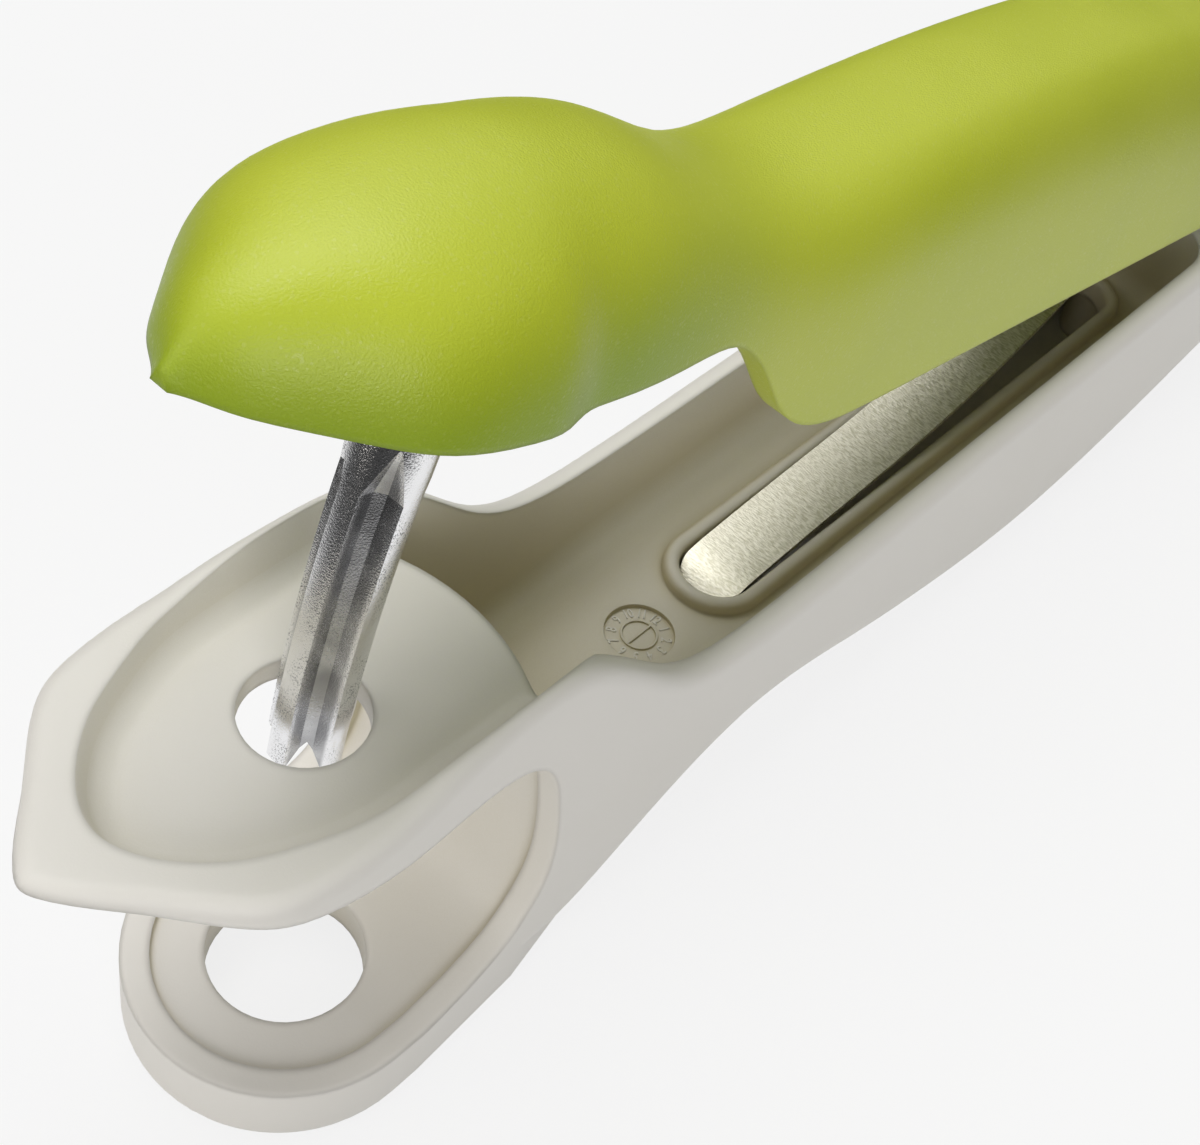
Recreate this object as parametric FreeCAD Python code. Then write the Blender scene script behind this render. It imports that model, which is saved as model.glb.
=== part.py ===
import FreeCAD, Part
import math
import os

# Hand-held olive pitter, in mm.  A green lever with a curved cross-shaped
# punch closes on a cream body with an olive tray over a ringed stone plate.
# +X runs from the beak of the tray to the hinge, Y = 0 is the plane of
# symmetry, +Z is up and Z = 0 is the plane the body stands on.

V = FreeCAD.Vector

# ---- layout --------------------------------------------------------------
punch_x = -67.4          # X of the olive hole, so the whole is centred
hinge_dx = 147.0         # hinge pin behind the olive hole
hinge_z = 21.4
open_angle = 12.4        # lever lifted from closed by its spring

# ---- body ----------------------------------------------------------------
tray_z = 42.3            # bottom of the olive dish
tray_thick = 2.0
lip_rise = 5.0           # height over which the dish wall leans outwards
dish_round = 2.2         # where the dish floor turns up into its wall
olive_hole_r = 5.2
tray_back_r = 21.0       # curved rear edge of the tray
tray_back_x = 17.2
plate_z = 7.0            # top of the stone plate
plate_thick = 3.7
stone_hole_r = 7.1
nose_r = 14.4            # rounded end of the stone plate
border = 2.6             # raised border round the plate and up the web
border_rise = 0.6
body_half = 13.6         # outer half width of the handle
wall = 2.3
rim_z = 28.0             # level rim of the handle channel
floor_z = 15.1           # channel floor
floor_thick = 1.6
channel_end_x = hinge_dx - 13.1
channel_round = 3.5      # where the floor meets the channel walls
channel_corner = 6.0     # upright corners at the back of the channel
deck_thick = 5.5         # between the channel and the hinge pocket
pocket_end_x = hinge_dx + 8.4
pocket_z = 14.9
body_end_x = hinge_dx + 13.6
skin = 1.6               # bottom skin of the handle
palm_round = 7.0         # rounding of the handle's lower edges
end_round = 8.5          # corners of the hinge end
rim_round = 1.4          # outer edge of the rim, all round
foot_round = 1.2         # lower edge of the nose
ease_end_x = 42.0        # where the nose has eased into the handle
ease_half = 8.4

# ---- slot, leaf spring and its cover ---------------------------------------
slot_front_x = 54.0
slot_back_x = channel_end_x - 2.7
slot_half = 3.9
slot_round = 3.8         # corners of the slot
collar_wide = 1.7        # rounded bead round the slot
collar_rise = 1.5
collar_round = 0.8
strip_clear = 0.3        # spring to the sides of the slot
strip_half = slot_half - strip_clear
strip_thick = 0.6
strip_gap = 0.15         # strip below the channel floor at its fixed end
rivet_x = 52.0
rivet_r = 1.0
rivet_head_r = 2.0
rivet_head = 0.6
rivet_deep = 1.0         # how far the rivet goes into the floor
cavity_front_x = 48.6
cavity_back_x = hinge_dx - 3.0
cavity_half = 9.4
cover_front_x = 60.0
cover_back_x = cavity_back_x - 3.0
cover_half = 6.4
cover_gap = 0.15
tongue_long = 2.6        # tongue that hooks over the skin
tongue_half = 4.0
screw_x = cover_back_x - 4.5
screw_r = 1.25
screw_head_r = 2.4
screw_head = 1.1
screw_long = 6.0
boss_r = 3.4

# ---- mould date dial -------------------------------------------------------
dial_x = 46.0
dial_r = 3.6
dial_deep = 0.5
dial_ring_r = 1.9
dial_line = 0.2

# ---- lever -----------------------------------------------------------------
cheek = 2.5              # body beside a lever ear
cheek_gap = 0.5          # between lever ears and body cheeks
lever_half = body_half - cheek - cheek_gap
dome_inset = 0.5         # head of the lever, narrower than the body
dome_half = body_half - dome_inset
lever_wall = 2.4
lever_end_x = hinge_dx + 5.4
presser_x = 118.0
presser_z = 20.65
presser_half = 4.6
presser_thick = 2.2

# ---- punch -----------------------------------------------------------------
punch_r = 3.25
punch_arc_r = math.hypot(hinge_dx, hinge_z - plate_z)  # through the stone hole
tip_angle = -6.2         # of the punch tip, about the hinge, lever closed
flute_angle = 10.6       # of the full flutes, up from the tip
run_out_angle = 2.2
punch_top_angle = 13.6
arm_half = 0.9          # half thickness of one arm of the cross
core_step = 1.6         # where a flute floor meets an arm
tooth_deep = 2.9
tooth_r = 2.6            # tooth points, from the punch axis
boss_wall = 2.2
boss_low_angle = 11.4

# ---- hinge -----------------------------------------------------------------
pin_r = 2.0
pin_gap = 0.05           # running clearance of the lever on the pin
pin_short = 0.3          # pin ends below the sides of the body
pin_chamfer = 0.4
ear_r = 4.8
ear_inset = 0.1          # ears inside the face of the skirts
ear_thick = 2.8
barrel_wall = 1.8

BIG = 200.0

# Rim of the body from the side, tip to hinge.
RIM = [(-27.5, 45.9), (-13.3, 45.3), (-6.0, 45.4), (-1.5, 45.7), (1.5, 46.2),
       (5.0, 46.6), (9.0, 46.7), (13.6, 46.4), (17.6, 45.2), (21.6, 42.4),
       (27.0, 37.3), (32.0, 32.7), (36.6, 30.0), (42.0, 28.6), (50.0, rim_z),
       (70.0, rim_z), (100.0, rim_z), (hinge_dx - 11.0, rim_z),
       (hinge_dx - 5.0, 27.6), (hinge_dx + 3.0, 25.4), (hinge_dx + 17.0, 21.0)]

# Lower edge of the closed lever from the side.
EDGE = [(-28.0, 48.9), (-20.0, 48.1), (-14.0, 47.6), (-8.0, 47.1), (-3.0, 46.5),
        (2.0, 46.0), (8.0, 45.6), (13.0, 45.3), (18.0, 45.1), (21.6, 44.4),
        (24.8, 42.7), (29.0, 39.2), (34.4, 34.0), (38.0, 31.5), (42.0, 29.9),
        (47.0, 29.1), (54.0, 28.9), (75.0, 28.9), (110.0, 28.9),
        (hinge_dx + 11.0, 28.9)]

# Underside of the body: nose foot, finger groove, palm swell.
UNDER = [(16.0, -0.9), (22.0, 0.1), (26.0, 1.2), (31.0, 3.6), (36.5, 6.5),
         (42.0, 8.8), (48.0, 9.9), (54.0, 9.4), (66.0, 6.3), (80.0, 3.0),
         (91.0, 1.1), (102.0, 0.15), (113.0, 0.6), (hinge_dx - 19.0, 2.8),
         (hinge_dx - 2.0, 6.4), (hinge_dx + 18.0, 11.0)]

# Open mouth between tray and stone plate.
MOUTH = [(-34.0, 45.5), (-26.0, 44.9), (-18.0, 43.6), (-10.0, 41.9),
         (-2.0, 40.4), (5.0, 39.8), (11.0, 38.4), (14.6, 35.0),
         (16.8, 29.0), (18.0, 21.5), (17.6, 15.0), (14.8, 10.3),
         (9.5, 8.0), (0.0, 7.6)]

# Half outlines in plan, from the tip backwards.
BEAK = [(-25.8, 0.0), (-25.0, 1.8), (-20.6, 6.6), (-16.4, 11.2),
        (-14.0, 13.0), (-10.0, 14.1), (-3.0, 14.4), (4.0, 14.0),
        (14.0, body_half), (24.0, body_half)]
DISH = [(-18.0, 0.0), (-17.2, 2.7), (-15.3, 5.1), (-12.4, 7.3), (-8.5, 9.1),
        (-5.8, 10.1), (-3.0, 10.7), (1.0, 10.9), (12.0, 10.9), (24.0, 10.9)]
DISH_TOP = [(-20.2, 0.0), (-19.4, 3.1), (-17.3, 6.1), (-13.9, 9.0), (-9.4, 11.0),
            (-6.5, 12.0), (-3.6, 12.6), (1.0, 12.8), (12.0, 12.8), (24.0, 12.6)]

# Lever stations, closed: x, half width, crown z, foot of the arch, power.
STATIONS = [(-23.3, 0.076 * dome_half, 49.4, 46.4, 2.0),
            (-21.2, 0.275 * dome_half, 52.6, 46.4, 2.05),
            (-18.4, 0.49 * dome_half, 54.9, 46.4, 2.1),
            (-15.2, 0.70 * dome_half, 56.5, 46.2, 2.15),
            (-12.0, 0.88 * dome_half, 57.7, 46.0, 2.2),
            (-8.6, 0.97 * dome_half, 58.6, 45.8, 2.2),
            (-4.6, dome_half, 59.3, 45.5, 2.15),
            (-0.8, 0.985 * dome_half, 59.7, 45.2, 2.1),
            (2.4, lever_half + 1.4, 59.8, 45.0, 2.1),
            (6.0, lever_half + 1.3, 59.5, 44.6, 2.1),
            (12.0, lever_half + 1.1, 58.4, 43.8, 2.15),
            (19.0, lever_half + 0.7, 55.8, 42.0, 2.2),
            (26.0, lever_half + 0.3, 53.2, 39.6, 2.3),
            (34.0, lever_half, 51.8, 37.4, 2.5), (43.0, lever_half, 52.3, 36.2, 2.7),
            (54.0, lever_half, 53.6, 35.7, 2.8), (67.0, lever_half, 54.7, 35.5, 2.9),
            (81.0, lever_half, 55.3, 35.2, 3.0), (95.0, lever_half, 55.4, 35.0, 3.0),
            (109.0, lever_half, 54.6, 34.5, 3.0),
            (hinge_dx - 23.0, lever_half, 52.4, 34.0, 2.9),
            (hinge_dx - 9.0, lever_half, 48.4, 33.0, 2.8),
            (lever_end_x, lever_half, 42.4, 31.5, 2.6)]

# Top face of the leaf spring from the side.
STRIP = [(49.8, 13.35), (51.6, 13.35), (53.4, 13.4), (54.9, 14.2), (56.4, 15.2),
         (58.2, 15.85), (61.0, 16.25), (65.0, 16.6), (70.0, 16.95), (76.0, 17.3),
         (84.0, 17.8), (90.0, 18.4), (97.0, 19.5), (104.0, 21.2), (109.0, 22.7),
         (113.6, 24.3), (120.4, 26.8)]


# ---- small helpers ---------------------------------------------------------
def block(x0, x1, half, z0, z1):
    """Box centred on the mid-plane."""
    return Part.makeBox(x1 - x0, 2 * half, z1 - z0, V(x0, -half, z0))


def rod(r, x, z0, z1, y=0.0):
    """Upright cylinder."""
    return Part.makeCylinder(r, z1 - z0, V(x, y, z0))


def cross_rod(r, x, z, half):
    """Cylinder along Y centred on the mid-plane."""
    return Part.makeCylinder(r, 2 * half, V(x, -half, z), V(0, 1, 0))


def side_poly(points, half):
    """Solid from a straight-sided side outline."""
    pts = [V(x, -half, z) for x, z in points]
    pts.append(pts[0])
    face = Part.Face(Part.makePolygon(pts))
    return face.extrude(V(0, 2 * half, 0))


def side_curve(points, corners, half):
    """Solid between a smooth side curve and straight lines by corners."""
    pts = [V(x, -half, z) for x, z in points]
    curve = Part.BSplineCurve()
    curve.interpolate(pts)
    ends = [pts[-1]] + [V(x, -half, z) for x, z in corners] + [pts[0]]
    edges = [curve.toShape()]
    for a, b in zip(ends[:-1], ends[1:]):
        edges.append(Part.LineSegment(a, b).toShape())
    face = Part.Face(Part.Wire(edges))
    return face.extrude(V(0, 2 * half, 0))


def upright_at(x):
    """Test for upright edges at one X."""
    return lambda e: e.BoundBox.ZLength > 1 and abs(e.BoundBox.Center.x - x) < 0.01


def plan_wire(points, back_x, z):
    """Closed plan outline: mirrored smooth front and a straight back."""
    near = [V(x, -y, z) for x, y in reversed(points)]
    far = [V(x, y, z) for x, y in points[1:]]
    pts = near + far
    curve = Part.BSplineCurve()
    curve.interpolate(pts)
    corners = [pts[-1], V(back_x, pts[-1].y, z), V(back_x, pts[0].y, z), pts[0]]
    edges = [curve.toShape()]
    for a, b in zip(corners[:-1], corners[1:]):
        edges.append(Part.LineSegment(a, b).toShape())
    return Part.Wire(edges)


def grown(points, gap):
    """Half outline moved outwards by a gap, square to its run."""
    out = []
    last = len(points) - 1
    for i, (x, y) in enumerate(points):
        x0, y0 = points[max(i - 1, 0)]
        x1, y1 = points[min(i + 1, last)]
        run = math.hypot(x1 - x0, y1 - y0)
        step_x = -gap if i == 0 else -gap * (y1 - y0) / run
        step_y = 0.0 if i == 0 else gap * (x1 - x0) / run
        out.append((x + step_x, y + step_y))
    return out


def slot_blank(inset, z0, z1):
    """Upright slot shape with round corners, smaller all round by an inset."""
    solid = block(slot_front_x + inset, slot_back_x - inset, slot_half - inset, z0, z1)
    return round_edges(solid, slot_round - inset, lambda e: e.BoundBox.ZLength > 1)


def round_edges(solid, radius, test):
    """Fillet the edges that pass a test; leave the solid if none do."""
    edges = [e for e in solid.Edges if test(e)]
    if not edges:
        return solid
    return solid.makeFillet(radius, edges)


def on_hinge(shape, angle):
    """Turn a shape about the hinge; positive lifts the nose end."""
    turned = shape.copy()
    turned.rotate(V(hinge_dx, 0, hinge_z), V(0, 1, 0), angle)
    return turned


# ---- lower body --------------------------------------------------------------
def above_rim():
    x0, x1 = RIM[0][0], RIM[-1][0]
    return side_curve(RIM, [(x1, BIG), (x0, BIG)], 30)


def below_under(lift):
    """Everything lower than the underside curve raised by a lift."""
    pts = [(x, z + lift) for x, z in UNDER]
    x0, x1 = UNDER[0][0], UNDER[-1][0]
    return side_curve(pts, [(x1, -30.0), (x0, -30.0)], 30)


def handle_blank():
    solid = block(12.0, body_end_x, body_half, 0, 50.0)
    solid = solid.cut(below_under(0)).Solids[0]
    solid = round_edges(solid, end_round, upright_at(body_end_x))
    return round_edges(solid, palm_round, lambda e: e.BoundBox.ZMax < 20
                       and e.BoundBox.XLength > 5)


def nose_blank():
    """Rounded foot under the tray, easing into the handle."""
    foot = rod(nose_r, 0, 0, 24)
    foot = round_edges(foot, foot_round, lambda e: e.BoundBox.ZMax < 0.01)
    near = [(0, nose_r), (3, nose_r), (16, body_half), (ease_end_x, ease_half)]
    pts = [(x, -y) for x, y in near] + near[::-1]
    wire = Part.makePolygon([V(x, y, 0) for x, y in pts + pts[:1]])
    ease = Part.Face(wire).extrude(V(0, 0, 24))
    ease = round_edges(ease, foot_round, lambda e: e.BoundBox.ZMax < 0.01
                       and e.BoundBox.XLength > 1 and e.BoundBox.XMin > -0.5)
    return foot.fuse(ease).cut(below_under(0))


def tray_blank():
    wire = plan_wire(BEAK, 30.0, 30.0)
    return Part.Face(wire).extrude(V(0, 0, 20.0))


def dish_blank(gap, drop):
    """Olive dish with leaning walls; a gap gives its outer side."""
    low = plan_wire(grown(DISH, gap), 30.0, tray_z - drop)
    high = plan_wire(grown(DISH_TOP, gap), 30.0, tray_z + lip_rise - drop)
    return Part.makeLoft([low, high], True, True)


def dish_cut():
    solid = dish_blank(0.0, 0.0)
    return round_edges(solid, dish_round, lambda e: e.BoundBox.ZMax < tray_z + 0.01
                       and e.BoundBox.XMin < 29.0)


def dish_bowl():
    """Underside of the dish, hung inside the lip."""
    bowl = dish_blank(tray_thick, tray_thick)
    return bowl.common(block(-40.0, tray_back_x + 0.8, 30, 0, 60.0))


def mouth_cut():
    """Open mouth that leaves the underside of the dish."""
    solid = side_curve(MOUTH, [(MOUTH[0][0], MOUTH[-1][1])], 30)
    return solid.cut(dish_bowl())


def channel_cut():
    """Handle channel behind the curved rear edge of the tray."""
    half = body_half - wall
    side = [(10.0, 60.0), (14.0, tray_z), (21.6, 27.0), (21.6, floor_z),
            (channel_end_x, floor_z), (channel_end_x, 60.0)]
    shelf = rod(tray_back_r, tray_back_x - tray_back_r, 0, 80.0)
    solid = side_poly(side, half).cut(shelf).Solids[0]
    solid = round_edges(solid, channel_corner, upright_at(channel_end_x))
    return round_edges(solid, channel_round, lambda e: e.BoundBox.ZMax < floor_z + 0.01
                       and e.BoundBox.XMax > 22.0)


def pocket_cut():
    """Pocket for the lever ears at the hinge."""
    half = lever_half + cheek_gap
    solid = block(channel_end_x + deck_thick, pocket_end_x, half, pocket_z, 60.0)
    inner_round = end_round - (body_end_x - pocket_end_x)
    return round_edges(solid, inner_round, upright_at(pocket_end_x))


def cavity_cut():
    """Spring cavity between the channel floor and the bottom skin."""
    top = floor_z - floor_thick
    solid = block(cavity_front_x, cavity_back_x, cavity_half, -5, top)
    solid = solid.cut(below_under(skin))
    return solid.cut(rod(boss_r, screw_x, -5, top))


def cover_blank(gap):
    """Plate that closes the bottom skin under the spring."""
    solid = block(cover_front_x + gap, cover_back_x - gap,
                  cover_half - gap, -5, 20)
    solid = round_edges(solid, 3.0, lambda e: e.BoundBox.ZLength > 5)
    return solid.common(below_under(skin))


def field_cut():
    """Sunk field that leaves a raised border round plate and web."""
    pts = grown(MOUTH, border_rise)[6:]
    low = [(-30.0, plate_z), (-30.0, 38.0)]
    field = side_curve(pts[:-1] + [(0.0, plate_z)], low, 30)
    near = [(0, nose_r - border), (3, nose_r - border), (16, body_half - border),
            (40, body_half - border)]
    pts = [(x, -y) for x, y in near] + near[::-1]
    wire = Part.makePolygon([V(x, y, 0) for x, y in pts + pts[:1]])
    plan = Part.Face(wire).extrude(V(0, 0, 60.0))
    plan = plan.fuse(rod(nose_r - border, 0, 0, 60.0)).removeSplitter()
    return field.common(plan)


def date_dial():
    """Shallow mould dial: sunk disc, raised ring and pointer."""
    sunk = rod(dial_r, dial_x, floor_z - dial_deep, floor_z + 1)
    low = floor_z - dial_deep - 0.2
    high = floor_z - dial_deep + 0.2
    ring = rod(dial_ring_r, dial_x, low, high)
    ring = ring.cut(rod(dial_ring_r - dial_line, dial_x, low, high))
    reach = dial_ring_r - dial_line / 2
    arm = block(dial_x - reach, dial_x + reach, dial_line / 2, low, high)
    return sunk, ring.fuse(arm)


def cut_holes(solid):
    """Olive hole, stone hole, nose hollow, hinge, rivet and screw holes."""
    holes = [rod(nose_r - wall, 0, -1, plate_z - plate_thick),
             rod(olive_hole_r, 0, tray_z - 8, tray_z + 8),
             rod(stone_hole_r, 0, -1, plate_z + 4),
             cross_rod(pin_r, hinge_dx, hinge_z, 30),
             rod(rivet_r, rivet_x, floor_z - floor_thick - 0.5,
                 floor_z - floor_thick + rivet_deep),
             rod(screw_r, screw_x, 0.0, screw_tip_z())]
    return solid.cut(holes)


def collar():
    """Bead round the slot."""
    ring = slot_blank(-collar_wide, floor_z - 0.5, floor_z + collar_rise)
    ring = ring.cut(slot_blank(0.0, floor_z - 1, floor_z + collar_rise + 1))
    return round_edges(ring, collar_round,
                       lambda e: e.BoundBox.ZMin > floor_z + collar_rise - 0.01)


def rounded_blank():
    """Handle, nose and tray in one, trimmed to the rim and rounded there."""
    solid = handle_blank().fuse([tray_blank(), nose_blank()]).removeSplitter()
    solid = solid.cut(above_rim()).Solids[0]
    top = max(solid.Faces, key=lambda f: f.BoundBox.XLength if f.BoundBox.ZMin > 18 else 0)
    return solid.makeFillet(rim_round, top.Edges)


def lower_body():
    solid = rounded_blank().cut(mouth_cut())
    solid = solid.cut(field_cut())
    solid = solid.cut([dish_cut(), channel_cut(), pocket_cut()])
    solid = solid.cut([cavity_cut(), cover_blank(0.0)])
    solid = solid.fuse(collar())
    solid = solid.cut(slot_blank(0.0, floor_z - 4.0, floor_z + 4.0))
    sunk, mark = date_dial()
    solid = solid.cut(sunk).fuse(mark)
    return cut_holes(solid)


# ---- spring, cover and their fixings -------------------------------------------
def under_z(x):
    """Height of the underside curve at one X."""
    line = Part.makeLine(V(x, 0, -20), V(x, 0, 40))
    return line.common(below_under(0)).BoundBox.ZMax


def screw_tip_z():
    return under_z(screw_x) + screw_long + 0.3


def spring_cover():
    solid = cover_blank(cover_gap).cut(below_under(0))
    hook = block(cover_front_x - tongue_long, cover_front_x + 3.0, tongue_half, 0, 20)
    over = block(cover_front_x + 1.0, cover_front_x + 3.0, tongue_half, 0, 20)
    hook = hook.common(below_under(skin + 1.0))
    hook = hook.cut(below_under(skin + cover_gap))
    over = over.common(below_under(skin + 1.0)).cut(below_under(0.3))
    solid = solid.fuse([hook, over])
    base = under_z(screw_x)
    sink = Part.makeCone(screw_head_r + cover_gap, screw_r + cover_gap,
                         screw_head, V(screw_x, 0, base - 0.01))
    solid = solid.cut(sink)
    return solid.cut(rod(screw_r + cover_gap, screw_x, 0.0, 20.0))


def cover_screw():
    """Countersunk screw with a cross recess, head down."""
    base = under_z(screw_x) + 0.1
    head = Part.makeCone(screw_head_r, screw_r, screw_head, V(screw_x, 0, base))
    shank = rod(screw_r, screw_x, base + screw_head - 0.05, base + screw_long)
    solid = head.fuse(shank)
    for turn in (45.0, 135.0):
        bar = block(-1.3, 1.3, 0.3, base - 1.0, base + 0.8)
        bar.rotate(V(0, 0, 0), V(0, 0, 1), turn)
        bar.translate(V(screw_x, 0, 0))
        solid = solid.cut(bar)
    return solid


def strip_side():
    """Side outline of the leaf spring, one thickness under its top line."""
    top = [V(x, -strip_half, z) for x, z in STRIP]
    low = [p - V(0, 0, strip_thick) for p in top]
    edges = []
    for pts in (top, low):
        curve = Part.BSplineCurve()
        curve.interpolate(pts)
        edges.append(curve.toShape())
    edges.insert(1, Part.LineSegment(top[-1], low[-1]).toShape())
    edges.append(Part.LineSegment(low[0], top[0]).toShape())
    return Part.Face(Part.Wire(Part.sortEdges(edges)[0]))


def leaf_spring():
    """Spring strip, narrowed where it rises through the front of the slot."""
    solid = strip_side().extrude(V(0, 2 * strip_half, 0))
    under = block(STRIP[0][0] - 1, slot_back_x, slot_half, 0,
                  floor_z - floor_thick - strip_gap / 2)
    solid = solid.common(under.fuse(slot_blank(strip_clear, 0, BIG)))
    return solid.cut(rod(rivet_r + strip_gap, rivet_x, 0, 30))


def spring_rivet():
    """Domed rivet driven up into the channel floor."""
    seat = floor_z - floor_thick - strip_gap - strip_thick - strip_gap
    shank = rod(rivet_r, rivet_x, seat - 0.1, floor_z - floor_thick + rivet_deep)
    head = rod(rivet_head_r, rivet_x, seat - rivet_head, seat)
    head = round_edges(head, 0.3, lambda e: e.BoundBox.ZMax < seat - rivet_head + 0.01)
    return head.fuse(shank)


# ---- lever -------------------------------------------------------------------
def arch_wire(x, half, crown, foot, power, low):
    """Section of the lever: upright skirts under a rounded arch."""
    pts = []
    steps = 12
    for i in range(steps + 1):
        a = math.pi * i / steps
        c, s = math.cos(a), math.sin(a)
        y = -half * math.copysign(abs(c) ** (2.0 / power), c)
        z = foot + (crown - foot) * abs(s) ** (2.0 / power)
        pts.append(V(x, y, z))
    curve = Part.BSplineCurve()
    curve.interpolate(Points=pts, Parameters=[i / steps for i in range(steps + 1)])
    a, b = V(x, half, low), V(x, -half, low)
    edges = [curve.toShape()]
    for p, q in ((pts[-1], a), (a, b), (b, pts[0])):
        edges.append(Part.LineSegment(p, q).toShape())
    return Part.Wire(edges)


def lever_loft(inset, low):
    """Handle shape through all stations, or its inner side by an inset."""
    wires = []
    for x, half, crown, foot, power in STATIONS:
        if half - inset < 0.6:
            continue
        wires.append(arch_wire(x, half - inset, crown - inset, foot, power, low))
    return Part.makeLoft(wires, True, False)


def below_edge():
    x0, x1 = EDGE[0][0], EDGE[-1][0]
    return side_curve(EDGE, [(x1, -30.0), (x0, -30.0)], 30)


def lever_shell():
    outer = lever_loft(0.0, 20.0)
    inner = lever_loft(lever_wall, 18.0)
    inner = inner.cut(block(lever_end_x - lever_wall, lever_end_x + 5, 30, 0, 80))
    return outer.cut(inner).cut(below_edge()), outer


def ears():
    """Lugs at the back of the skirts with a barrel between them."""
    half = lever_half - ear_inset
    lug = cross_rod(ear_r, hinge_dx, hinge_z, half)
    web = block(hinge_dx - ear_r, hinge_dx + ear_r, half, hinge_z, 34.0)
    lug = lug.fuse(web)
    lug = lug.cut(block(0, BIG, half - ear_thick, -10, 60))
    barrel = cross_rod(pin_r + barrel_wall, hinge_dx, hinge_z, half)
    return lug.fuse(barrel)


def punch_boss(outer):
    """Socket for the punch, trimmed to the outside of the dome."""
    disc = Part.makeCircle(punch_r + boss_wall, punch_foot(), V(0, 0, 1))
    solid = swept(Part.Face(Part.Wire(disc)), boss_low_angle, punch_top_angle + 3.0)
    return solid.common(outer)


def top_lever():
    """Lever in its closed place, then lifted."""
    shell, outer = lever_shell()
    rib = block(presser_x - presser_thick / 2, presser_x + presser_thick / 2,
                presser_half, presser_z, BIG)
    cap = lever_loft(lever_wall / 2, presser_z - 1)
    solid = shell.fuse([ears(), rib.common(cap), punch_boss(outer)])
    solid = solid.cut(round_bar(tip_angle, punch_top_angle))
    solid = solid.cut(cross_rod(pin_r + pin_gap, hinge_dx, hinge_z, 30))
    return on_hinge(solid, open_angle)


# ---- punch -------------------------------------------------------------------
def punch_foot():
    """Where the punch axis crosses hinge height; its run is upright there."""
    return V(hinge_dx - punch_arc_r, 0, hinge_z)


def swept(face, low_angle, high_angle):
    """Sweep a level section about the hinge between two angles."""
    start = on_hinge(face, low_angle)
    turn = high_angle - low_angle
    return start.revolve(V(hinge_dx, 0, hinge_z), V(0, 1, 0), turn)


def round_bar(low_angle, high_angle):
    circle = Part.makeCircle(punch_r, punch_foot(), V(0, 0, 1))
    return swept(Part.Face(Part.Wire(circle)), low_angle, high_angle)


def flute(quarter):
    """One flute between two arms, running out to a point at the top."""
    out = punch_r + 1.0
    pts = [(arm_half, core_step), (core_step, arm_half), (out, arm_half),
           (out, out), (arm_half, out)]
    foot = punch_foot()
    wire = Part.makePolygon([foot + V(x, y, 0) for x, y in pts + pts[:1]])
    wire.rotate(foot, V(0, 0, 1), 90.0 * quarter)
    top = tip_angle + flute_angle
    run = swept(Part.Face(wire), tip_angle - 1.0, top)
    peak = V(punch_r, punch_r, 0) * 0.8
    turn = FreeCAD.Rotation(V(0, 0, 1), 90.0 * quarter)
    tip = on_hinge(Part.Vertex(foot + turn.multVec(peak)), top + run_out_angle)
    ends = Part.makeLoft([on_hinge(wire, top), tip], True, True)
    return run.fuse(ends)


def tooth_grooves():
    """Crossed V grooves on the diagonals and a bevel round the tip."""
    foot = punch_foot()
    tools = []
    wide = tooth_r * math.sqrt(0.5)
    for turn in (45.0, 135.0):
        pts = [V(-6, -wide, -0.01), V(-6, wide, -0.01), V(-6, 0, tooth_deep)]
        groove = Part.Face(Part.makePolygon(pts + pts[:1])).extrude(V(12, 0, 0))
        groove.rotate(V(0, 0, 0), V(0, 0, 1), turn)
        tools.append(groove)
    cone = Part.makeCone(tooth_r, punch_r + 0.5, 1.8, V(0, 0, -0.01))
    ring = rod(punch_r + 1.0, 0, -0.5, 1.79).cut(cone)
    tools.append(ring)
    for tool in tools:
        tool.translate(foot)
    return [on_hinge(tool, tip_angle) for tool in tools]


def punch_rod():
    """Curved cross-shaped punch with four teeth, lifted with the lever."""
    solid = round_bar(tip_angle, punch_top_angle)
    solid = solid.cut([flute(quarter) for quarter in range(4)])
    solid = solid.cut(tooth_grooves())
    return on_hinge(solid, open_angle)


# ---- hinge pin ---------------------------------------------------------------
def hinge_pin():
    half = body_half - pin_short
    solid = cross_rod(pin_r, hinge_dx, hinge_z, half)
    ends = [e for e in solid.Edges if e.BoundBox.YLength < 0.01]
    return solid.makeChamfer(pin_chamfer, ends)


PARTS = {
    "lower_body": lower_body,
    "spring_cover": spring_cover,
    "cover_screw": cover_screw,
    "leaf_spring": leaf_spring,
    "spring_rivet": spring_rivet,
    "top_lever": top_lever,
    "punch_rod": punch_rod,
    "hinge_pin": hinge_pin,
}


def main():
    os.makedirs("parts", exist_ok=True)
    for name, make in PARTS.items():
        shape = make()
        if len(shape.Solids) == 1:
            shape = shape.Solids[0]
        shape.translate(V(punch_x, 0, 0))
        shape.exportStep("parts/" + name + ".step")
        print(name, shape.isValid(), len(shape.Solids), round(shape.Volume, 1))


main()
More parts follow.
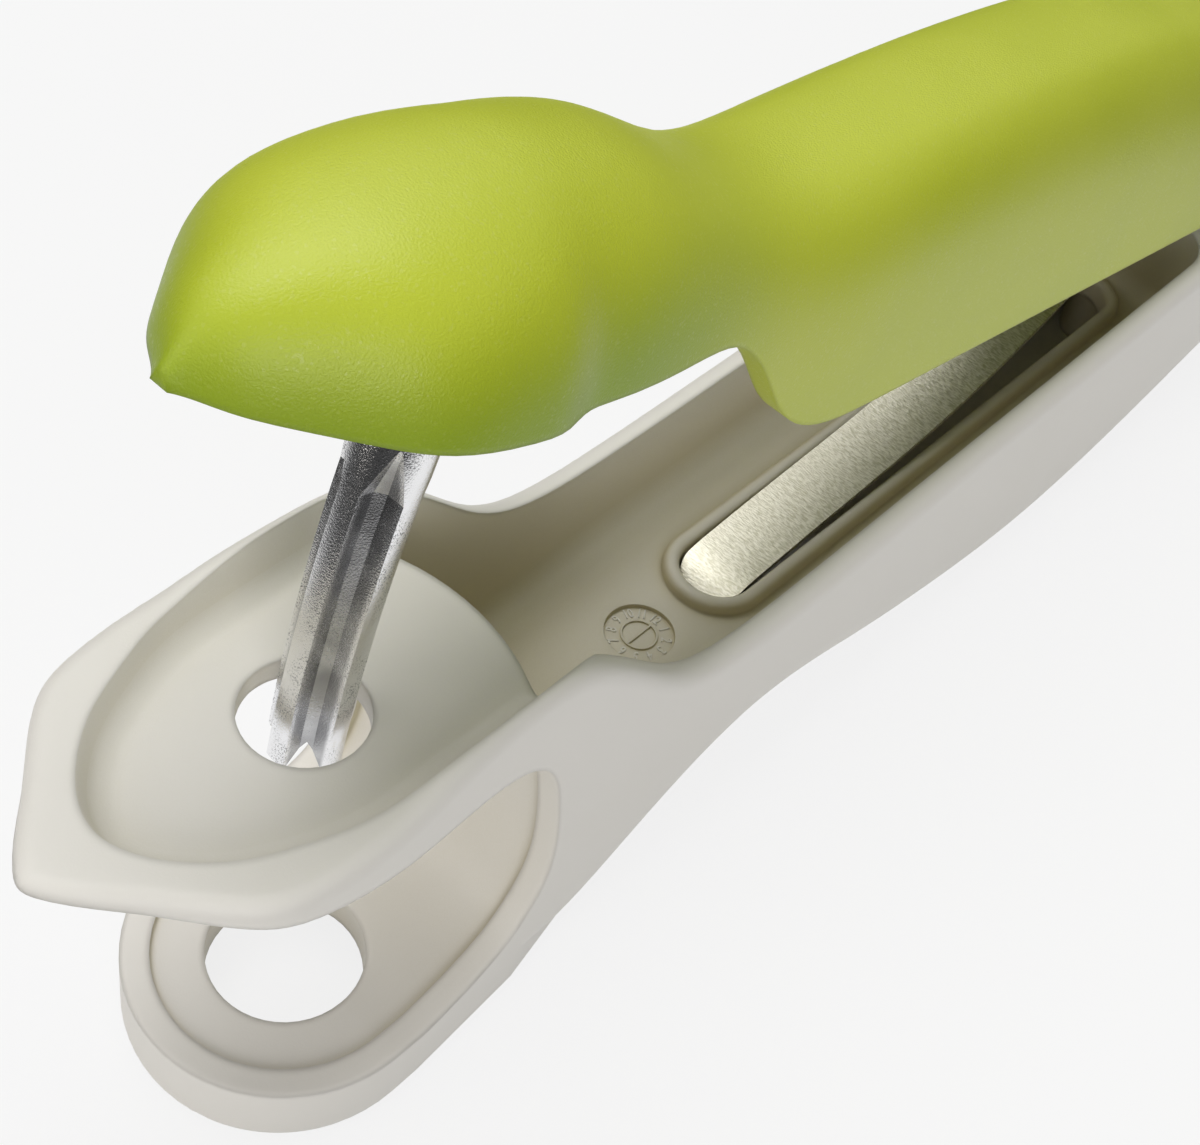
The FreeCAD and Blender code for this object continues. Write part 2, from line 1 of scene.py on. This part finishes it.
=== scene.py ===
import bpy
import math
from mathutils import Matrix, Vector


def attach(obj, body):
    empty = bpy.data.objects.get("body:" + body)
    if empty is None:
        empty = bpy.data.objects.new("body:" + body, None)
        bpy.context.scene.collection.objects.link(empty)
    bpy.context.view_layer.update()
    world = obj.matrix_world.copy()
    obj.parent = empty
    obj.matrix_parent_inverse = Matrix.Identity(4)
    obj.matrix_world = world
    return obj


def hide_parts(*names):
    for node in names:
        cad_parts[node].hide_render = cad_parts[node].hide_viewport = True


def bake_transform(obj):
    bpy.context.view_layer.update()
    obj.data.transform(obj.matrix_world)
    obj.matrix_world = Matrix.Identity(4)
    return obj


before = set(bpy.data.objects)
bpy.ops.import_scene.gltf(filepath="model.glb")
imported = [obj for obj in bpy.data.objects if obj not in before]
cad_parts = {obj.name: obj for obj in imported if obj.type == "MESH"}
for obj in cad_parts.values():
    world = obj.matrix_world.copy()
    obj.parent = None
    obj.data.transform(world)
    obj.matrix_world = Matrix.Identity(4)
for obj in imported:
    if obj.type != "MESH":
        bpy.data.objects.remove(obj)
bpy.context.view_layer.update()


# The camera stands above and to the left of the beak and looks down the
# handle; it is a long lens, slightly rolled.
camera_data = bpy.data.cameras.new("camera")
camera_data.sensor_width = 36.0
camera_data.lens = 58.78
camera_data.clip_start = 0.01
camera = bpy.data.objects.new("camera", camera_data)
camera.location = (-0.13168, -0.06274, 0.16217)
camera_target = Vector((-0.03956, -0.00520, 0.04230))
aim = camera_target - camera.location
roll = math.radians(13.72)
turn = aim.to_track_quat("-Z", "Y").to_matrix().to_4x4()
camera.rotation_euler = (turn @ turn.Rotation(roll, 4, "Z")).to_euler()
bpy.context.collection.objects.link(camera)
bpy.context.scene.camera = camera


# The lower body and the cover under it: cream ABS, injection moulded in one
# shot each.  The mould is fine-sparked, so the skin is satin with a close
# grain and its edges are soft.  Recesses are painted darker and warmer as
# painted shade.
class Wire:
    """A socket that can be used in sums and products."""

    def __init__(self, tree, socket):
        self.tree = tree
        self.socket = socket

    def math(self, operation, *values):
        made = add_node(self.tree, "Math", {"operation": operation})
        for place, value in enumerate((self,) + values):
            plug(self.tree, made.inputs[place], value)
        return Wire(self.tree, made.outputs[0])

    def __add__(self, other):
        return self.math("ADD", other)

    __radd__ = __add__

    def __sub__(self, other):
        return self.math("SUBTRACT", other)

    def __rsub__(self, other):
        return self * -1.0 + other

    def __mul__(self, other):
        return self.math("MULTIPLY", other)

    __rmul__ = __mul__

    def step(self, low, high):
        """0 below low, 1 above high, smooth between."""
        made = add_node(self.tree, "MapRange", {"interpolation_type": "SMOOTHSTEP"},
                        Value=self, From_Min=low, From_Max=high)
        return Wire(self.tree, made.outputs["Result"])


def plug(tree, socket, value):
    if isinstance(value, Wire):
        tree.links.new(value.socket, socket)
    else:
        socket.default_value = value


def add_node(tree, kind, settings=None, **links):
    """Any shader node: its type, its settings, then what its sockets take."""
    made = tree.nodes.new("ShaderNode" + kind)
    for name, value in (settings or {}).items():
        setattr(made, name, value)
    for name, value in links.items():
        plug(tree, made.inputs[name.replace("_", " ")], value)
    return made


def output(node, name):
    return Wire(node.id_data, node.outputs[name])


def finish_of(name, colour, roughness, metallic=0.0):
    """A new material, its shader, its tree and the piece's own coordinates.

    The plain colour and roughness hold until a pattern is plugged in."""
    made = bpy.data.materials.new(name)
    made.use_nodes = True
    tree = made.node_tree
    shader = tree.nodes["Principled BSDF"]
    shader.inputs["Base Color"].default_value = (*colour, 1.0)
    shader.inputs["Roughness"].default_value = roughness
    shader.inputs["Metallic"].default_value = metallic
    place = output(add_node(tree, "TexCoord"), "Object")
    return made, shader, tree, place


def blended(tree, share, first, second):
    """A colour between two, by a share that varies over the surface."""
    made = add_node(tree, "Mix", {"data_type": "RGBA"})
    plug(tree, made.inputs[0], share)
    plug(tree, made.inputs[6], first if isinstance(first, Wire) else (*first, 1.0))
    plug(tree, made.inputs[7], (*second, 1.0))
    return Wire(tree, made.outputs[2])


def dress(node, material):
    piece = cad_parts[node]
    piece.data.materials.clear()
    piece.data.materials.append(material)


cream_open = (0.775, 0.75, 0.70)
# Painted shade: the colour painted into recesses.
cream_painted_shade = (0.56, 0.50, 0.33)
painted_shade_reach = 0.03
cream_edge = 0.001
cream_cloud_scale = 60.0
cream_grain_scale = 5200.0
cream_grain_strength = 0.1
grain_height = 0.0001
edge_samples = 6
dial_spot = Vector((-0.0214, 0.0, 0.0146))
dial_edge = 0.00012
dial_inside = 0.0036
dial_outside = 0.0042
cream, shader, tree, place = finish_of("cream_plastic", cream_open, 0.48)
# Painted shade: recesses found by local occlusion are painted darker and warmer.
shade_occlusion = add_node(tree, "AmbientOcclusion", {"samples": 8, "only_local": True},
                  Distance=painted_shade_reach)
clouds = add_node(tree, "TexNoise", None, Vector=place, Scale=cream_cloud_scale,
                  Detail=2.0)
shade_depth = 1.0 - output(shade_occlusion, "AO")
share = shade_depth.step(0.08, 0.8) + (output(clouds, "Fac") - 0.5) * 0.08
plug(tree, shader.inputs["Base Color"], blended(tree, share, cream_open, cream_painted_shade))
plug(tree, shader.inputs["Roughness"], output(clouds, "Fac") * 0.1 + 0.43)
grain = add_node(tree, "TexNoise", None, Vector=place, Scale=cream_grain_scale,
                 Detail=2.0)
from_dial = add_node(tree, "VectorMath", {"operation": "DISTANCE"})
plug(tree, from_dial.inputs[0], place)
plug(tree, from_dial.inputs[1], dial_spot)
outside = output(from_dial, "Value").step(dial_inside, dial_outside)
soft = add_node(tree, "Bevel", {"samples": edge_samples},
                Radius=outside * (cream_edge - dial_edge) + dial_edge)
bump = add_node(tree, "Bump", None, Height=output(grain, "Fac"),
                Strength=cream_grain_strength, Distance=grain_height,
                Normal=output(soft, "Normal"))
plug(tree, shader.inputs["Normal"], output(bump, "Normal"))
dress("lower_body", cream)
dress("spring_cover", cream)


# Month numbers of the mould's date dial: low raised figures, 1 to 12, moulded
# with the channel's floor round the dial's ring.
dial_twelve = math.radians(5.0)
month_degrees = 30.0
number_reach = 0.00275
number_size = 0.0017
number_rise = 0.00013
number_stroke = 0.000025
number_squeeze = (0.64, 0.9, 1.0)
merge_gap = 0.000002
bpy.ops.object.select_all(action="DESELECT")
numbers = []
for month in range(1, 13):
    bpy.ops.object.text_add(location=(0.0, 0.0, 0.0))
    number = bpy.context.object
    number.data.body = str(month)
    number.data.size = number_size
    number.data.extrude = number_rise
    number.data.offset = number_stroke
    number.data.align_x = "CENTER"
    number.data.align_y = "CENTER"
    bpy.ops.object.convert(target="MESH")
    bpy.ops.object.mode_set(mode="EDIT")
    bpy.ops.mesh.select_all(action="SELECT")
    bpy.ops.mesh.remove_doubles(threshold=merge_gap)
    bpy.ops.mesh.normals_make_consistent(inside=False)
    bpy.ops.object.mode_set(mode="OBJECT")
    angle = dial_twelve - math.radians(month_degrees * month)
    number.scale = number_squeeze
    number.rotation_euler = (0.0, 0.0, angle - math.pi / 2)
    out = Vector((math.cos(angle), math.sin(angle), 0.0))
    number.location = dial_spot + out * number_reach
    bpy.ops.object.transform_apply(location=True, rotation=True, scale=True)
    numbers.append(number)
    number.select_set(False)
for number in numbers:
    number.select_set(True)
bpy.context.view_layer.objects.active = numbers[0]
bpy.ops.object.join()
dial_numbers = bpy.context.object
dial_numbers.name = "dial_numbers"
dial_numbers.data.materials.clear()
dial_numbers.data.materials.append(cream)
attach(dial_numbers, "base")


# The lever: green ABS, moulded in one with its skirts and ears.  The skin is
# satin and sparkles where the light rakes over its grain.  Towards the thin
# rim of the head the low front is painted a darker, deeper green as painted
# shade.
green_colour = (0.46, 0.53, 0.012)
green_pale = (0.485, 0.55, 0.02)
# Painted shade: the darker green painted on the head's low front.
green_painted_shade = (0.24, 0.35, 0.001)
green_fleck = (0.62, 0.66, 0.22)
hinge_x = 0.0796
hinge_z = 0.0214
lever_lift = math.radians(12.4)
shade_low = 0.0462
shade_high = 0.0565
shade_front = -0.062
shade_back = -0.034
green_cloud_scale = 45.0
green_fleck_scale = 5200.0
green_fleck_share = 0.08
green_grain_scale = 5600.0
green_grain_strength = 0.4
green_edge = 0.0008
green, shader, tree, place = finish_of("green_plastic", green_colour, 0.42)
turned = add_node(tree, "Mapping", None, Vector=place, Rotation=(0.5, 0.7, 0.3))
skin = output(turned, "Vector")
clouds = add_node(tree, "TexNoise", None, Vector=place, Scale=green_cloud_scale,
                  Detail=2.0)
axes = add_node(tree, "SeparateXYZ", None, Vector=place)
along = output(axes, "X") - hinge_x
up = output(axes, "Z") - hinge_z
height = up * math.cos(lever_lift) + along * math.sin(lever_lift) + hinge_z
reach = along * math.cos(lever_lift) - up * math.sin(lever_lift) + hinge_x
# Painted shade: the head's low front, towards its rim, is painted darker.
low_head_shade = (1.0 - height.step(shade_low, shade_high)) * (1.0 - reach.step(shade_front, shade_back))
speck = add_node(tree, "TexVoronoi", None, Vector=skin, Scale=green_fleck_scale)
speck_parts = add_node(tree, "SeparateColor", None, Color=output(speck, "Color"))
fleck = output(speck_parts, "Red").step(0.93, 0.95)
skin_colour = blended(tree, output(clouds, "Fac").step(0.35, 0.65), green_colour,
                      green_pale)
skin_colour = blended(tree, low_head_shade, skin_colour, green_painted_shade)
skin_colour = blended(tree, fleck * green_fleck_share, skin_colour, green_fleck)
plug(tree, shader.inputs["Base Color"], skin_colour)
plug(tree, shader.inputs["Roughness"],
     output(clouds, "Fac") * 0.1 + 0.36 - fleck * 0.1)
shader.inputs["Specular IOR Level"].default_value = 0.5
shader.inputs["Sheen Weight"].default_value = 0.06
shader.inputs["Sheen Roughness"].default_value = 0.5
grain = add_node(tree, "TexNoise", None, Vector=skin, Scale=green_grain_scale,
                 Detail=2.0)
soft = add_node(tree, "Bevel", {"samples": edge_samples}, Radius=green_edge)
bump = add_node(tree, "Bump", None, Height=output(grain, "Fac"),
                Strength=green_grain_strength, Distance=grain_height,
                Normal=output(soft, "Normal"))
plug(tree, shader.inputs["Normal"], output(bump, "Normal"))
dress("top_lever", green)


# The punch: die-cast zinc, bent on the hinge's arc and chromed.  Its four
# arms are polished round the outside; the flutes between them keep a duller
# cast skin, and are also painted darker as painted shade and painted
# reflection.
punch_bright = (0.88, 0.88, 0.89)
# Dark chrome for the flutes: partly a duller cast skin, partly painted shade and
# reflection.
punch_dull_and_shade = (0.1, 0.1, 0.105)
punch_pit_scale = 7500.0
punch_patch_scale = 300.0
punch_round = 0.00325
polish_start = 0.0006
polish_full = 0.00015
arc_reach = math.hypot(0.147, 0.0144)
chrome, shader, tree, place = finish_of("chrome_steel", (0.7, 0.7, 0.71), 0.16, 1.0)
axes = add_node(tree, "SeparateXYZ", None, Vector=place)
along = output(axes, "X") - hinge_x
up = output(axes, "Z") - hinge_z
side = output(axes, "Y")
off_arc = (along * along + up * up).math("SQRT") - arc_reach
radial = (off_arc * off_arc + side * side).math("SQRT")
polished = radial.step(punch_round - polish_start, punch_round - polish_full)
pits = add_node(tree, "TexNoise", None, Vector=place, Scale=punch_pit_scale, Detail=2.0)
patches = add_node(tree, "TexNoise", None, Vector=place, Scale=punch_patch_scale,
                   Detail=2.0)
pitted = output(pits, "Fac").step(0.5, 0.66) * output(patches, "Fac").step(0.42, 0.6)
cast = output(patches, "Fac").step(0.2, 0.8)
# Painted shade and reflection: the flutes are darkened beyond a duller cast skin.
shine_and_shade = polished * (1.0 - pitted * 0.7) + (1.0 - polished) * (cast * 0.4 + 0.3)
plug(tree, shader.inputs["Base Color"],
     blended(tree, shine_and_shade, punch_dull_and_shade, punch_bright))
plug(tree, shader.inputs["Roughness"], 0.2 - polished * 0.08 + pitted * 0.12)
bump = add_node(tree, "Bump", None, Height=output(pits, "Fac"), Strength=0.3,
                Distance=grain_height)
plug(tree, shader.inputs["Normal"], output(bump, "Normal"))
dress("punch_rod", chrome)


# The leaf spring: a strip of stainless steel, brushed across its width and
# riveted at its front.  It rises out of its slot, and its free end lies just
# under the lever's rib.  The copy drawn here is cut across at even steps along
# its rise and shaded smooth; it is not bent with the lever.
strip_colour = (0.60, 0.58, 0.50)
strip_dark = (0.42, 0.40, 0.32)
strip_brush_scale = (6500.0, 1500.0, 1500.0)
strip, shader, tree, place = finish_of("spring_steel", strip_colour, 0.34, 1.0)
across = add_node(tree, "Mapping", None, Vector=place, Scale=strip_brush_scale)
brushed = add_node(tree, "TexNoise", None, Vector=output(across, "Vector"), Scale=1.0,
                   Detail=4.0)
streak = output(brushed, "Fac")
plug(tree, shader.inputs["Base Color"],
     blended(tree, streak.step(0.36, 0.62), strip_dark, strip_colour))
plug(tree, shader.inputs["Roughness"], streak * 0.22 + 0.28)
bump = add_node(tree, "Bump", None, Height=streak, Strength=0.4, Distance=grain_height)
plug(tree, shader.inputs["Normal"], output(bump, "Normal"))
spring_bend_start = 0.020
spring_bend_end = 0.049
spring_cut = 0.0025
spring_crease = math.radians(12.0)
bpy.ops.object.select_all(action="DESELECT")
spring_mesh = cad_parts["leaf_spring"].data.copy()
spring_strip = bpy.data.objects.new("spring_strip", spring_mesh)
bpy.context.collection.objects.link(spring_strip)
bpy.context.view_layer.objects.active = spring_strip
spring_strip.select_set(True)
bpy.ops.object.mode_set(mode="EDIT")
bpy.ops.mesh.select_all(action="SELECT")
bpy.ops.mesh.customdata_custom_splitnormals_clear()
bpy.ops.mesh.remove_doubles(threshold=merge_gap)
cut = spring_bend_start
while cut < spring_bend_end + spring_cut:
    bpy.ops.mesh.select_all(action="SELECT")
    bpy.ops.mesh.bisect(plane_co=(cut, 0.0, 0.0), plane_no=(1.0, 0.0, 0.0))
    cut += spring_cut
bpy.ops.object.mode_set(mode="OBJECT")
bpy.ops.object.shade_smooth_by_angle(angle=spring_crease)
spring_strip.data.materials.clear()
spring_strip.data.materials.append(strip)
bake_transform(spring_strip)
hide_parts("leaf_spring")


# Pin, rivet and screw: plain turned steel, ground on the shank.
steel_colour = (0.56, 0.56, 0.57)
steel_grain_scale = 2500.0
steel, shader, tree, place = finish_of("pin_steel", steel_colour, 0.3, 1.0)
grain = add_node(tree, "TexNoise", None, Vector=place, Scale=steel_grain_scale,
                 Detail=2.0)
plug(tree, shader.inputs["Roughness"], output(grain, "Fac") * 0.2 + 0.22)
bump = add_node(tree, "Bump", None, Height=output(grain, "Fac"), Strength=0.1,
                Distance=grain_height)
plug(tree, shader.inputs["Normal"], output(bump, "Normal"))
for node in ("hinge_pin", "spring_rivet", "cover_screw"):
    dress(node, steel)


# The studio: a white table under one wide soft lamp, with two weaker ones at
# the beak's end.  To the eye the table and the room are white; polished metal
# sees the table's edge and a dim room beyond it.
studio_white = (0.967, 0.967, 0.967, 1.0)
table_grey = (0.8, 0.8, 0.8, 1.0)
room_dim = (0.05, 0.05, 0.05, 1.0)
table_near = 0.11
table_far = 0.2
fade_near = 0.16
fade_far = 0.4
bpy.ops.object.select_all(action="DESELECT")
bpy.ops.mesh.primitive_plane_add(size=12.0, location=(0.0, 0.0, 0.0))
floor = bpy.context.object
floor.name = "floor"
floor_finish = bpy.data.materials.new("floor")
floor_finish.use_nodes = True
tree = floor_finish.node_tree
tree.nodes.clear()
path = add_node(tree, "LightPath")
seen = output(path, "Is Camera Ray")
mirrored = output(path, "Is Glossy Ray")
place = output(add_node(tree, "TexCoord"), "Object")
away = add_node(tree, "VectorMath", {"operation": "LENGTH"}, Vector=place)
far = output(away, "Value")
near = 1.0 - far.step(table_near, table_far)
matt = add_node(tree, "BsdfDiffuse", None, Color=table_grey)
glow = add_node(tree, "Emission", None, Color=studio_white, Strength=1.0)
dim = add_node(tree, "Emission", None, Color=room_dim, Strength=1.0)
clear = seen * (far.step(fade_near, fade_far) * 0.15 + 0.85)
share = add_node(tree, "MixShader", None,
                 Fac=clear.math("MAXIMUM", mirrored * near * 0.8))
tree.links.new(matt.outputs[0], share.inputs[1])
tree.links.new(glow.outputs[0], share.inputs[2])
edge = add_node(tree, "MixShader", None, Fac=mirrored * (1.0 - near))
tree.links.new(share.outputs[0], edge.inputs[1])
tree.links.new(dim.outputs[0], edge.inputs[2])
out = add_node(tree, "OutputMaterial")
tree.links.new(edge.outputs[0], out.inputs["Surface"])
floor.data.materials.append(floor_finish)

world = bpy.data.worlds.new("studio")
world.use_nodes = True
tree = world.node_tree
sky = tree.nodes["Background"]
path = add_node(tree, "LightPath")
heading = add_node(tree, "SeparateXYZ", None,
                   Vector=output(add_node(tree, "TexCoord"), "Generated"))
overhead = output(heading, "Z").step(0.15, 0.6)
mirrored = output(path, "Is Glossy Ray")
soft_level = 0.27
ceiling_level = 1.6
horizon_level = 0.04
level = ((1.0 - mirrored) * soft_level
         + mirrored * (overhead * ceiling_level + horizon_level))
plug(tree, sky.inputs["Strength"], level.math("MAXIMUM", output(path, "Is Camera Ray")))
sky.inputs["Color"].default_value = studio_white
bpy.context.scene.world = world


def soft_lamp(name, spot, size, watts, colour):
    lamp_data = bpy.data.lights.new(name, "AREA")
    lamp_data.size = size
    lamp_data.energy = watts
    lamp_data.color = colour
    lamp = bpy.data.objects.new(name, lamp_data)
    lamp.location = spot
    lamp.rotation_euler = (-Vector(spot)).to_track_quat("-Z", "Y").to_euler()
    bpy.context.collection.objects.link(lamp)


soft_lamp("key", (0.05, 0.25, 1.0), 0.8, 6.4, (1.0, 1.0, 1.0))
soft_lamp("near", (-0.6, -0.75, 0.45), 0.5, 3.0, (1.0, 1.0, 1.0))
soft_lamp("left", (-0.95, 0.35, 0.32), 0.6, 2.0, (1.0, 0.96, 0.9))
bpy.context.scene.view_settings.view_transform = "Standard"
